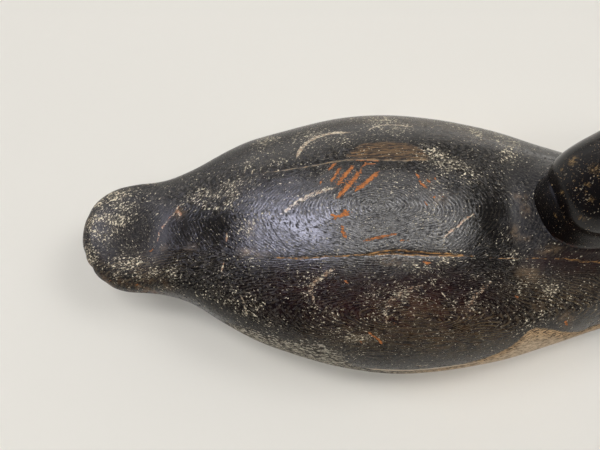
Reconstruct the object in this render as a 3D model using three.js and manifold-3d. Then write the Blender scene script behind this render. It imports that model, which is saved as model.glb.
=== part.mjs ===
// Duck decoy: a carved wooden diving duck with a flat underside, a paddle tail, and a
// separate head and neck piece that sits on a raised seat and looks a little to the left.
// Millimetres, +X towards the breast, +Y the duck's left side, +Z up. The origin is on the
// underside, midway between the tip of the tail and the breast.

import * as THREE from "three";
import { mergeVertices } from "three/addons/utils/BufferGeometryUtils.js";
import Module from "manifold-3d";

// Driving dimensions.
const bodyLength = 350;
const bodyWidth = 151;
const bodyHeight = 82.5;
const tailRound = 33; // length over which the paddle tail rounds off in plan
const breastRound = 127; // the same for the breast
const breastRoundPower = 2.35; // 2 is an ellipse in plan; more is blunter
const tailEdge = 9; // length over which the tail thins to its edge
const breastEdge = 54; // the same for the breast
const breastEdgePower = 2.6;
const seatHeight = 84; // top of the neck seat above the underside
const seatLength = 61.4;
const seatWidth = 49;
const seatPower = 2.6; // 2 is an ellipse; more is squarer
const seatFillet = 12; // run of the hollow curve from the seat down to the back
const seatHollow = 2.4; // how hollow that curve is; 1 is a straight slope
const neckAxis = 96; // where the neck stands along the body
const headTurn = THREE.MathUtils.degToRad(15); // to the duck's left
const jointGap = 0.3;
const eyeDiameter = 9.4;
const eyeDome = 2.8; // how far the glass stands out of its socket's mouth
const eyeDepth = 2.2; // how deep its flat back is set

// Numbers of facets.
const bodyStations = 56;
const bodyFacets = 44;
const headStations = 54;
const headFacets = 30;
const eyeFacets = 18;
const eyeRings = 5;

const bodyEnd = bodyLength / 2;

// The body's side and plan curves: distance from the middle, then the value there.
const halfWidths = [
  [-175, 0.432], [-158, 0.438], [-128, 0.453], [-112, 0.517], [-94, 0.654], [-74, 0.787], [-54, 0.876],
  [-28, 0.966], [-1, 1.0], [27, 0.971], [57, 0.894], [87, 0.794], [117, 0.724], [142, 0.738], [175, 0.725],
].map(([x, share]) => [x, (share * bodyWidth) / 2]);
// The tail and rump aren't quite even: how much of the half width each side reaches.
const leftShares = [
  [-175, 1.0], [-162, 0.985], [-152, 0.952], [-145, 0.957], [-136, 0.975], [-127, 1.0], [-118, 1.033],
  [-108, 1.048], [-98, 1.04], [-84, 1.03], [-74, 1.01], [-64, 1.0], [-54, 1.0], [175, 1.0],
];
const rightShares = [[-175, 1.03], [-160, 1.04], [-138, 1.03], [-122, 1.0], [-106, 1.0], [175, 1.0]];
const topHeights = [
  [-175, 0.592], [-158, 0.598], [-146, 0.602], [-133, 0.628], [-108, 0.715], [-78, 0.838],
  [-38, 0.953], [2, 0.993], [32, 1.0], [56, 0.98], [81, 0.95], [106, 0.936], [126, 0.913],
  [146, 0.856], [175, 0.74],
].map(([x, share]) => [x, share * bodyHeight]);
// Below zero the underside is planed flat.
const bottomHeights = [
  [-175, 35], [-158, 28], [-138, 19], [-118, 9], [-100, 1], [-83, -5], [-4, -6], [116, -6],
  [138, -5], [154, -1], [175, 4],
];
const widestHeights = [
  [-175, 36], [-128, 37.5], [-98, 41.5], [-68, 41], [-4, 36.5], [56, 33], [112, 29], [175, 32.5],
];
const shoulderPowers = [
  [-175, 2.4], [-128, 2.4], [-68, 2.3], [-4, 2.35], [52, 2.3], [112, 2.15], [175, 2.0],
];
const bilgePower = 2.6;

// The head and neck as cross-sections, from the seat up and forward to the tip of the bill.
// Each runs from a point at the back or top to one at the front or underneath, in the head's
// own side view: distance ahead of the neck axis, and height above the underside.
const headSections = [
  { back: [-30.3, 84.3], front: [29, 84.3], halfWidth: 23.4, taper: 0.0, power: 2.6 }, // seat
  { back: [-30.2, 87], front: [27.3, 88.5], halfWidth: 22.8, taper: 0.0, power: 2.6 },
  { back: [-30.2, 92.8], front: [25, 93], halfWidth: 22.3, taper: 0.0, power: 2.6 },
  { back: [-30.5, 99.3], front: [23, 97], halfWidth: 22.4, taper: 0.02, power: 2.6 },
  { back: [-30.7, 106.3], front: [21.8, 100], halfWidth: 23.6, taper: 0.04, power: 2.55 }, // nape
  { back: [-27.4, 114.8], front: [21.5, 102.5], halfWidth: 23.8, taper: 0.07, power: 2.45 },
  { back: [-18.4, 124.8], front: [22, 104.3], halfWidth: 23.8, taper: 0.1, power: 2.4 },
  { back: [-7.7, 135.3], front: [23.5, 105.2], halfWidth: 23.9, taper: 0.13, power: 2.4 },
  { back: [7, 143.3], front: [26, 105.8], halfWidth: 23.6, taper: 0.15, power: 2.35 }, // crown
  { back: [21.5, 143.8], front: [29.5, 106.3], halfWidth: 21.4, taper: 0.17, power: 2.3 },
  { back: [33, 138.5], front: [33.5, 106.8], halfWidth: 17.8, taper: 0.2, power: 2.3 },
  { back: [40.5, 130], front: [39, 107.5], halfWidth: 13.8, taper: 0.24, power: 2.3 }, // bill root
  { back: [48, 124.5], front: [47, 108.3], halfWidth: 12.0, taper: 0.26, power: 2.4 },
  { back: [57, 121.3], front: [56.5, 109.2], halfWidth: 12.0, taper: 0.2, power: 2.5 },
  { back: [66.5, 119], front: [66.5, 110.2], halfWidth: 12.8, taper: 0.12, power: 2.5 },
  { back: [75.5, 117.2], front: [75.5, 111], halfWidth: 11.5, taper: 0.05, power: 2.4 },
  { back: [80.2, 115], front: [80.2, 112.2], halfWidth: 5.5, taper: 0.0, power: 2.2 }, // bill tip
];
const eyeAlong = 0.538; // place of the eye between the first section and the last
const eyeAngle = THREE.MathUtils.degToRad(10); // above the widest line of that section

const wood = (name, colour) => {
  const material = new THREE.MeshStandardMaterial({ color: colour, roughness: 0.45, metalness: 0 });
  material.name = name;
  return material;
};
const bodyPaint = wood("body_paint", 0x1d1d1f);
const headPaint = wood("head_paint", 0x161616);
const eyeGlass = new THREE.MeshStandardMaterial({ color: 0xb9781e, roughness: 0.08, metalness: 0 });
eyeGlass.name = "eye_glass";

// A smooth curve through points at uneven stations, as a function of the station.
function curveThrough(points) {
  const at = points.map((p) => p[0]);
  const value = points.map((p) => p[1]);
  const last = points.length - 1;
  const span = at.slice(1).map((a, i) => a - at[i]);
  const slope = span.map((h, i) => (value[i + 1] - value[i]) / h);
  const tangent = value.map((_, i) => {
    if (i === 0) return slope[0];
    if (i === last) return slope[last - 1];
    return (slope[i - 1] * span[i] + slope[i] * span[i - 1]) / (span[i - 1] + span[i]);
  });
  return (x) => {
    let i = 0;
    while (i < last - 1 && x > at[i + 1]) i++;
    const t = THREE.MathUtils.clamp((x - at[i]) / span[i], 0, 1);
    const s = 1 - t;
    return (
      (1 + 2 * t) * s * s * value[i] +
      t * s * s * span[i] * tangent[i] +
      t * t * (3 - 2 * t) * value[i + 1] +
      t * t * (t - 1) * span[i] * tangent[i + 1]
    );
  };
}

const halfWidthAt = curveThrough(halfWidths);
const leftShareAt = curveThrough(leftShares);
const rightShareAt = curveThrough(rightShares);
const topAt = curveThrough(topHeights);
const bottomAt = curveThrough(bottomHeights);
const widestAt = curveThrough(widestHeights);
const shoulderPowerAt = curveThrough(shoulderPowers);

// How far from an end, as a share of the length over which that end rounds off.
const intoTail = (x, run) => THREE.MathUtils.clamp(1 - (x + bodyEnd) / run, 0, 1);
const intoBreast = (x, run) => THREE.MathUtils.clamp(1 - (bodyEnd - x) / run, 0, 1);

const planRounding = (x) =>
  Math.sqrt(1 - intoTail(x, tailRound) ** 2) * Math.sqrt(1 - intoBreast(x, breastRound) ** breastRoundPower);
const edgeRounding = (x) =>
  Math.sqrt(1 - intoTail(x, tailEdge) ** 2) * Math.sqrt(1 - intoBreast(x, breastEdge) ** breastEdgePower);

const signedPower = (v, power) => Math.sign(v) * Math.abs(v) ** power;

// Height of the body's upper side once the neck seat is added: level inside the seat's oval,
// then a hollow curve down to the back.
function withSeat(x, y, z) {
  const ahead = x - neckAxis;
  const along = ahead * Math.cos(headTurn) + y * Math.sin(headTurn);
  const across = y * Math.cos(headTurn) - ahead * Math.sin(headTurn);
  const oval = (
    Math.abs(along / (seatLength / 2)) ** seatPower + Math.abs(across / (seatWidth / 2)) ** seatPower
  ) ** (1 / seatPower);
  const outside = ((oval - 1) * (seatLength + seatWidth)) / 4 / seatFillet;
  const rise = (1 - THREE.MathUtils.clamp(outside, 0, 1)) ** seatHollow;
  return z + Math.max(seatHeight - z, 0) * rise;
}

// One cross-section of the body, as a closed loop of points.
function bodyLoop(x) {
  const width = halfWidthAt(x) * planRounding(x);
  const middle = widestAt(x);
  const above = (topAt(x) - middle) * edgeRounding(x);
  const below = (middle - bottomAt(x)) * edgeRounding(x);
  return Array.from({ length: bodyFacets }, (_, i) => {
    const angle = (2 * Math.PI * i) / bodyFacets;
    const upper = Math.sin(angle) >= 0;
    const power = 2 / (upper ? shoulderPowerAt(x) : bilgePower);
    const sideShare = Math.cos(angle) >= 0 ? leftShareAt(x) : rightShareAt(x);
    const y = width * sideShare * signedPower(Math.cos(angle), power);
    const z = middle + (upper ? above : below) * signedPower(Math.sin(angle), power);
    return new THREE.Vector3(x, y, upper ? withSeat(x, y, z) : Math.max(z, 0));
  });
}

// Stations closer together towards both ends, where the body rounds off.
function bodyStationsAlong() {
  return Array.from({ length: bodyStations - 1 }, (_, i) => {
    const share = (i + 1) / bodyStations;
    const even = 2 * share - 1;
    return bodyEnd * (0.5 * even - 0.5 * Math.cos(Math.PI * share));
  });
}

// A closed skin over a row of loops, with a point at each end.
function skin(loops, start, end) {
  const facets = loops[0].length;
  const points = [start, ...loops.flat(), end];
  const indexOf = (loop, i) => 1 + loop * facets + (i % facets);
  const faces = [];
  for (let i = 0; i < facets; i++) {
    faces.push(0, indexOf(0, i + 1), indexOf(0, i));
    for (let loop = 0; loop < loops.length - 1; loop++) {
      const [a, b] = [indexOf(loop, i), indexOf(loop, i + 1)];
      const [c, d] = [indexOf(loop + 1, i), indexOf(loop + 1, i + 1)];
      faces.push(a, b, c, b, d, c);
    }
    faces.push(points.length - 1, indexOf(loops.length - 1, i), indexOf(loops.length - 1, i + 1));
  }
  const geometry = new THREE.BufferGeometry().setFromPoints(points);
  geometry.setIndex(faces);
  return geometry;
}

function bodyGeometry() {
  const loops = bodyStationsAlong().map(bodyLoop);
  const tip = new THREE.Vector3(-bodyEnd, 0, widestAt(-bodyEnd));
  const breast = new THREE.Vector3(bodyEnd, 0, widestAt(bodyEnd));
  return skin(loops, tip, breast);
}

// A smooth curve through one measure of the head's sections, from 0 at the seat to 1 at the bill.
const sectionCurve = (pick) => {
  const curve = new THREE.SplineCurve(headSections.map((s, i) => new THREE.Vector2(i, pick(s))));
  return (along) => curve.getPoint(along).y;
};
const backX = sectionCurve((s) => s.back[0]);
const backZ = sectionCurve((s) => s.back[1]);
const frontX = sectionCurve((s) => s.front[0]);
const frontZ = sectionCurve((s) => s.front[1]);
const headHalfWidth = sectionCurve((s) => s.halfWidth);
const headTaper = sectionCurve((s) => s.taper);
const headPower = sectionCurve((s) => s.power);

// A point of the head: angle 0 is its left side and a quarter turn is its back or top.
function headPoint(along, angle) {
  const power = 2 / headPower(along);
  const towardsBack = signedPower(Math.sin(angle), power);
  const share = (1 + towardsBack) / 2;
  return new THREE.Vector3(
    THREE.MathUtils.lerp(frontX(along), backX(along), share),
    headHalfWidth(along) * signedPower(Math.cos(angle), power) * (1 - headTaper(along) * towardsBack),
    THREE.MathUtils.lerp(frontZ(along), backZ(along), share),
  );
}

function headGeometry() {
  const loops = Array.from({ length: headStations + 1 }, (_, loop) =>
    Array.from({ length: headFacets }, (_, i) =>
      headPoint(loop / headStations, (2 * Math.PI * i) / headFacets),
    ),
  );
  const middle = (along) => headPoint(along, Math.PI / 2).add(headPoint(along, -Math.PI / 2)).divideScalar(2);
  return skin(loops, middle(0), middle(1));
}

// Where an eye sits on one side of the head, and the way it faces.
function eyePlace(side) {
  const angle = side > 0 ? eyeAngle : Math.PI - eyeAngle;
  const step = 0.01;
  const place = headPoint(eyeAlong, angle);
  const forward = headPoint(eyeAlong + step, angle).sub(headPoint(eyeAlong - step, angle));
  const around = headPoint(eyeAlong, angle + step).sub(headPoint(eyeAlong, angle - step));
  const outwards = forward.cross(around).normalize();
  if (outwards.y * side < 0) outwards.negate();
  return new THREE.Matrix4().compose(
    place,
    new THREE.Quaternion().setFromUnitVectors(new THREE.Vector3(0, 1, 0), outwards),
    new THREE.Vector3(1, 1, 1),
  );
}

// A glass eye: a flat-backed button with a domed front, turned about its own axis.
function eyeGeometry() {
  const radius = eyeDiameter / 2;
  const flatBack = [new THREE.Vector2(0, -eyeDepth), new THREE.Vector2(radius, -eyeDepth)];
  const dome = Array.from({ length: eyeRings + 1 }, (_, i) => {
    const angle = (Math.PI / 2) * (i / eyeRings);
    return new THREE.Vector2(i === eyeRings ? 0 : radius * Math.cos(angle), eyeDome * Math.sin(angle));
  });
  return new THREE.LatheGeometry([...flatBack, ...dome], eyeFacets);
}

function socketGeometry() {
  const radius = eyeDiameter / 2 + jointGap;
  const height = eyeDepth + jointGap + 2 * eyeDome;
  const centre = height / 2 - eyeDepth - jointGap;
  return new THREE.CylinderGeometry(radius, radius, height, eyeFacets).translate(0, centre, 0);
}

const wasm = await Module();
wasm.setup();

function solidOf(geometry) {
  const bare = new THREE.BufferGeometry();
  bare.setAttribute("position", geometry.getAttribute("position"));
  if (geometry.index) bare.setIndex(geometry.index);
  const merged = mergeVertices(bare, 1e-4);
  return new wasm.Manifold(
    new wasm.Mesh({
      numProp: 3,
      vertProperties: merged.attributes.position.array,
      triVerts: new Uint32Array(merged.index.array),
    }),
  );
}

function geometryOf(solid) {
  const mesh = solid.getMesh();
  const geometry = new THREE.BufferGeometry();
  geometry.setAttribute("position", new THREE.BufferAttribute(new Float32Array(mesh.vertProperties), 3));
  geometry.setIndex(new THREE.BufferAttribute(new Uint32Array(mesh.triVerts), 1));
  return geometry;
}

// The head with a socket cut for each eye.
function headWithSockets() {
  const sockets = [1, -1].map((side) => solidOf(socketGeometry().applyMatrix4(eyePlace(side))));
  return geometryOf(sockets.reduce((head, socket) => head.subtract(socket), solidOf(headGeometry())));
}

function named(name, geometry, material) {
  const mesh = new THREE.Mesh(geometry, material);
  mesh.name = name;
  return mesh;
}

const decoy = new THREE.Group();
decoy.add(named("body", bodyGeometry(), bodyPaint));

const headGroup = new THREE.Group();
headGroup.position.x = neckAxis;
headGroup.rotation.z = headTurn;
headGroup.add(named("head", headWithSockets(), headPaint));
headGroup.add(named("left_eye", eyeGeometry().applyMatrix4(eyePlace(1)), eyeGlass));
headGroup.add(named("right_eye", eyeGeometry().applyMatrix4(eyePlace(-1)), eyeGlass));
decoy.add(headGroup);

export default decoy;
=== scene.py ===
# Looks for a worn, black-painted duck decoy: fine body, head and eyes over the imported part,
# with paint that has chipped, cracked and rubbed through to the wood.
# Shapes are worked out in millimetres and put into Blender in metres.

from functools import partial

import bpy
import numpy as np
from mathutils import Matrix


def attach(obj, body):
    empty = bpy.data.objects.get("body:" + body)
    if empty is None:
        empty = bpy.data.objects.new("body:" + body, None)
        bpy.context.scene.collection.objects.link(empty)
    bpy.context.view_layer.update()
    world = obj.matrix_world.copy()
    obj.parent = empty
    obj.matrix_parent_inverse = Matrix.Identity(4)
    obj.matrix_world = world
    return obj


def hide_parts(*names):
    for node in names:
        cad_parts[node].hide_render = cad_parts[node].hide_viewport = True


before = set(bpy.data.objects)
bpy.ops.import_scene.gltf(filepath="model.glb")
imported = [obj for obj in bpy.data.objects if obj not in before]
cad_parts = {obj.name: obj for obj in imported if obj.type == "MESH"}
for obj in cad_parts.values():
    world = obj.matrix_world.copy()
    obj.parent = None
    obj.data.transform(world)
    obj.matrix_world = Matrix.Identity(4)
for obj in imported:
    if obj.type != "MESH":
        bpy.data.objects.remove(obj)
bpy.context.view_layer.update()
print("frame loaded")

mm = 0.001  # one millimetre in metres


# tools for shapes

def curveThrough(points, x):
    # cubic between neighbouring stations, each slope weighted by the two spans beside it
    at, value = np.array(points, float).T
    span = np.diff(at)
    slope = np.diff(value) / span
    tangent = np.concatenate([slope[:1], np.zeros(len(at) - 2), slope[-1:]])
    tangent[1:-1] = (slope[:-1] * span[1:] + slope[1:] * span[:-1]) / (span[:-1] + span[1:])
    i = np.clip(np.searchsorted(at, x, side="left") - 1, 0, len(at) - 2)
    t = np.clip((x - at[i]) / span[i], 0, 1)
    s = 1 - t
    return ((1 + 2 * t) * s * s * value[i] + t * s * s * span[i] * tangent[i]
            + t * t * (3 - 2 * t) * value[i + 1] + t * t * (t - 1) * span[i] * tangent[i + 1])


def signedPower(v, power):
    # keeps the sign of v and raises its size to a power
    return np.sign(v) * np.abs(v) ** power


def smoothStep(v, low, high):
    # 0 at low, 1 at high, an S curve between
    t = np.clip((v - low) / (high - low), 0, 1)
    return t * t * (3 - 2 * t)


def waves(points, size, seed, count=14):
    # rolling unevenness, mostly from -1 to 1: a sum of plane waves about size long with seeded directions
    rng = np.random.default_rng(seed)
    way = rng.normal(size=(3, count))
    way /= np.linalg.norm(way, axis=0)
    way *= 2 * np.pi / (size * rng.uniform(0.7, 1.6, count))
    return np.cos(points @ way + rng.uniform(0, 2 * np.pi, count)).sum(-1) / np.sqrt(2 * count)


def gridNormals(grid):
    # outward unit normals of a grid of points, from the cross product of its two directions
    n = np.cross(np.gradient(grid, axis=1), np.gradient(grid, axis=0))
    return n / (np.linalg.norm(n, axis=-1, keepdims=True) + 1e-9)


def skinMesh(name, grid, start, end, fields):
    # a closed skin: rings of points joined by quads, with a fan of triangles at each end.
    # Each field is a grid of values kept on the points; an end point gets the mean of its ring.
    rings, around = grid.shape[:2]
    points = np.concatenate([[start], grid.reshape(-1, 3), [end]]) * mm
    i, j = np.meshgrid(np.arange(rings - 1), np.arange(around), indexing="ij")
    here, beside = 1 + i * around + j, 1 + i * around + (j + 1) % around
    quads = np.stack([here, beside, beside + around, here + around], -1).reshape(-1, 4)
    column = np.arange(around)
    after = (column + 1) % around
    last = 1 + (rings - 1) * around
    startFan = np.stack([np.zeros_like(column), 1 + after, 1 + column], -1)
    endFan = np.stack([np.full_like(column, len(points) - 1), last + column, last + after], -1)
    mesh = bpy.data.meshes.new(name)
    mesh.from_pydata(points.tolist(), [], quads.tolist() + startFan.tolist() + endFan.tolist())
    for field, values in fields.items():
        attribute = mesh.attributes.new(field, "FLOAT", "POINT")
        values = np.reshape(values, (rings, around))
        flat = np.concatenate([[values[0].mean()], values.reshape(-1), [values[-1].mean()]])
        attribute.data.foreach_set("value", flat.astype(np.float32))
    mesh.polygons.foreach_set("use_smooth", np.ones(len(mesh.polygons), bool))
    mesh.update()
    piece = bpy.data.objects.new(name, mesh)
    bpy.context.collection.objects.link(piece)
    return piece


# the body's shape, as in the part; stations are millimetres ahead of the middle
bodyShape = {
    "length": 350, "width": 151, "height": 82.5,
    "tailRound": 33, "breastRound": 127, "breastPower": 2.35,
    "tailEdge": 9, "breastEdge": 54, "edgePower": 2.6,
    "halfWidths": [
        (-175, .432), (-158, .438), (-128, .453), (-112, .517), (-94, .654), (-74, .787), (-54, .876),
        (-28, .966), (-1, 1), (27, .971), (57, .894), (87, .794), (117, .724), (142, .738), (175, .725),
    ],
    "leftShares": [
        (-175, 1), (-162, .985), (-152, .952), (-145, .957), (-136, .975), (-127, 1), (-118, 1.033),
        (-108, 1.048), (-98, 1.04), (-84, 1.03), (-74, 1.01), (-64, 1), (-54, 1), (175, 1),
    ],
    "rightShares": [(-175, 1.03), (-160, 1.04), (-138, 1.03), (-122, 1), (-106, 1), (175, 1)],
    "tops": [
        (-175, .592), (-158, .598), (-146, .602), (-133, .628), (-108, .715), (-78, .838), (-38, .953),
        (2, .993), (32, 1), (56, .98), (81, .95), (106, .936), (126, .913), (146, .856), (175, .74),
    ],
    "bottoms": [
        (-175, 35), (-158, 28), (-138, 19), (-118, 9), (-100, 1), (-83, -5), (-4, -6), (116, -6),
        (138, -5), (154, -1), (175, 4),
    ],
    "widest": [
        (-175, 36), (-128, 37.5), (-98, 41.5), (-68, 41), (-4, 36.5), (56, 33), (112, 29), (175, 32.5),
    ],
    "shoulders": [(-175, 2.4), (-128, 2.4), (-68, 2.3), (-4, 2.35), (52, 2.3), (112, 2.15), (175, 2)],
    "bilge": 2.6,
    "seat": {"height": 84, "length": 61.4, "width": 49, "power": 2.6, "fillet": 12, "rise": 2.4,
             "at": 96, "turn": 15},
    "stations": 415,
    "columns": (26, 52, 54, 66, 38),  # between bottom, left side, the two cracks, right side and bottom
    "squeeze": 0.55,  # how much closer the columns stand beside the cracks
    "unevenness": 0.3, "chisel": 34,  # how deep and how far apart the knife wandered
}

# cracks along the back: the middle line, its half width, and depth against half width
cracks = [
    {
        "path": [
            (-64, -26.2), (-58, -27), (-52, -27.7), (-38, -27.6), (-26, -27.6), (-15, -27), (-5, -26),
            (3, -26.6), (12, -27.1), (20, -27.4), (34, -27.8), (47, -28.3), (59, -27.5), (70, -27.5),
            (82, -28.8), (98, -28.9),
        ],
        "halfWidth": [
            (-64, .1), (-56, .32), (-40, .34), (-20, .45), (-12, .9), (-3, 1.3), (4, 1.15), (14, .85),
            (22, .6), (32, .12), (60, .06), (74, .04), (86, .18), (98, .15),
        ],
        "depth": 0.35,
    },
    {
        "path": [
            (-72, 22.8), (-57, 23.6), (-47, 24.2), (-37, 25.6), (-27, 26.8), (-18, 26.6), (-8, 25.9),
            (3, 25.6), (14, 26.1),
        ],
        "halfWidth": [(-72, .05), (-60, .22), (-40, .3), (-20, .35), (0, .35), (14, .12)],
        "depth": 0.5,
    },
]


def bodySection(x):
    # half width, widest height, rise above it, drop below it and shoulder power at a station
    shape = bodyShape
    end = shape["length"] / 2
    tail, tailThin = (np.clip(1 - (x + end) / shape[name], 0, 1) for name in ("tailRound", "tailEdge"))
    breast, breastThin = (np.clip(1 - (end - x) / shape[name], 0, 1)
                          for name in ("breastRound", "breastEdge"))
    plan = np.sqrt((1 - tail ** 2) * (1 - breast ** shape["breastPower"]))
    edge = np.sqrt((1 - tailThin ** 2) * (1 - breastThin ** shape["edgePower"]))
    middle = curveThrough(shape["widest"], x)
    width = curveThrough(shape["halfWidths"], x) * shape["width"] / 2 * plan
    above = (curveThrough(shape["tops"], x) * shape["height"] - middle) * edge
    below = (middle - curveThrough(shape["bottoms"], x)) * edge
    return width, middle, above, below, 2 / curveThrough(shape["shoulders"], x)


def sideShare(x, side):
    # how much of the half width the left (side above zero) or right side reaches
    left, right = (curveThrough(bodyShape[name], x) for name in ("leftShares", "rightShares"))
    return np.where(side >= 0, left, right)


def bodyPoint(x, angle):
    # a superellipse round the body at each station; angle 0 is the left side, a quarter turn the top.
    # Near the neck the top rises to a level seat, and below zero it is planed flat.
    width, middle, above, below, power = bodySection(x)
    c, s = np.cos(angle), np.sin(angle)
    upper = s >= 0
    power = np.where(upper, power, 2 / bodyShape["bilge"])
    y = width * sideShare(x, c) * signedPower(c, power)
    z = middle + np.where(upper, above, below) * signedPower(s, power)
    seat = bodyShape["seat"]
    turn = np.radians(seat["turn"])
    ahead = x - seat["at"]
    along = np.abs(ahead * np.cos(turn) + y * np.sin(turn)) / (seat["length"] / 2)
    across = np.abs(y * np.cos(turn) - ahead * np.sin(turn)) / (seat["width"] / 2)
    oval = (along ** seat["power"] + across ** seat["power"]) ** (1 / seat["power"])
    outside = (oval - 1) * (seat["length"] + seat["width"]) / 4 / seat["fillet"]
    rise = (1 - np.clip(outside, 0, 1)) ** seat["rise"]
    z = np.where(upper, z + np.maximum(seat["height"] - z, 0) * rise, np.maximum(z, 0))
    return np.stack(np.broadcast_arrays(x, y, z), -1)


def angleFor(x, y):
    # the angle round the upper side at which the body reaches a given y
    width, *_, power = bodySection(x)
    c = np.clip(np.abs(y) / np.maximum(width * sideShare(x, y), 1e-6), 0, 1) ** (1 / power)
    return np.arccos(np.sign(y) * c)


def onBody(path):
    # points of a path across the back, in plan, lifted onto the surface
    x, y = np.array(path, float).T
    return bodyPoint(x, angleFor(x, y))


def crackAcross(crack, x):
    # y of a crack at a station; beyond its ends it keeps its share of the half width
    inside = np.clip(x, crack["path"][0][0], crack["path"][-1][0])
    return curveThrough(crack["path"], inside) * bodySection(x)[0] / bodySection(inside)[0]


def bodyGrid():
    # stations stand closer at both ends; columns run along the body, and two of them follow the cracks
    end = bodyShape["length"] / 2
    share = np.linspace(0, 1, bodyShape["stations"] + 2)[1:-1]
    x = end * (0.5 * (2 * share - 1) - 0.5 * np.cos(np.pi * share))
    rightCrack, leftCrack = (angleFor(x, crackAcross(crack, x)) for crack in cracks)
    quarter = np.full_like(x, np.pi / 2)
    anchors = [-quarter, quarter * 0, leftCrack, rightCrack, quarter * 2, quarter * 3]
    besideCracks = (1, 2, 3)
    columns = []
    for k, count in enumerate(bodyShape["columns"]):
        t = np.arange(count) / count
        squeeze = bodyShape["squeeze"] if k in besideCracks else 0.0
        t = t - squeeze * np.sin(2 * np.pi * t) / (2 * np.pi)
        columns.append(anchors[k][:, None] * (1 - t) + anchors[k + 1][:, None] * t)
    angle = np.concatenate(columns, 1)
    return x[:, None] + 0 * angle, angle


def resample(points, step=0.8):
    # points every step along a path, with the path's own smooth bends (Catmull-Rom)
    p = np.concatenate([[2 * points[0] - points[1]], points, [2 * points[-1] - points[-2]]])
    t = np.linspace(0, 1, 12, endpoint=False)[None, :, None]
    a, b, c, d = (p[k:len(p) - 3 + k][:, None] for k in range(4))
    fine = 0.5 * (2 * b + (c - a) * t + (2 * a - 5 * b + 4 * c - d) * t ** 2
                  + (3 * b - a - 3 * c + d) * t ** 3)
    fine = np.concatenate([fine.reshape(-1, points.shape[1]), points[-1:]])
    run = np.concatenate([[0], np.cumsum(np.linalg.norm(np.diff(fine, axis=0), axis=1))])
    at = np.linspace(0, run[-1], max(int(run[-1] / step), 3))
    return np.stack([np.interp(at, run, fine[:, k]) for k in range(points.shape[1])], -1)


# how strokes narrow towards their ends (share of the length, and what is left at the tip), and how far
# from a stroke's middle line it is still felt, in millimetres
strokeEnds = {"taper": 0.18, "blunt": 0.15, "reach": 5.0}


def strokeFields(points, strokes):
    # for every vertex: signed distance to the nearest stroke's middle line, that stroke's half width
    # there, how broken it is and how warm. The width is below zero out of reach.
    reach = strokeEnds["reach"]
    side = np.full(len(points), reach)
    width = np.full(len(points), -1.0)
    worn, warm = np.zeros((2, len(points)))
    best = np.full(len(points), 1e9)
    for half, *paintLeft, path in strokes:
        line = resample(onBody(path))
        low, high = line.min(0) - reach, line.max(0) + reach
        near = np.flatnonzero(((points >= low) & (points <= high)).all(1))
        if not len(near):
            continue
        offset = points[near][:, None] - line[None]
        distance = np.linalg.norm(offset, axis=2)
        k = distance.argmin(1)
        row = np.arange(len(near))
        tangent = np.gradient(line, axis=0)
        tangent /= np.linalg.norm(tangent, axis=1, keepdims=True)
        o, t, away = offset[row, k], tangent[k], distance[row, k]
        beyond = np.abs((o * t).sum(1))
        across = np.sqrt(np.maximum(away ** 2 - beyond ** 2, 0))
        turn = t[:, 0] * o[:, 1] - t[:, 1] * o[:, 0]
        along = k / (len(line) - 1)
        ends = np.minimum(1, np.minimum(along, 1 - along) / strokeEnds["taper"] + strokeEnds["blunt"])
        w = (half + 0.12) * ends - 1.2 * np.maximum(beyond - 0.5, 0)
        w -= 2.5 * np.maximum(away - half - 0.15, 0)
        closer = away - w < best[near]
        target = near[closer]
        best[target] = (away - w)[closer]
        side[target] = (np.sign(turn) * across)[closer]
        width[target] = w[closer]
        worn[target], warm[target] = paintLeft or (0, 0)
    return side, width, worn, warm


def blobs(x, y, spots):
    # soft ovals that add up: (along, across, half length, half breadth, strength)
    total = np.zeros_like(x)
    for cx, cy, rx, ry, amount in spots:
        total += amount * np.exp(-(((x - cx) / rx) ** 2 + ((y - cy) / ry) ** 2) ** 1.3 / 1.3)
    return total


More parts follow.
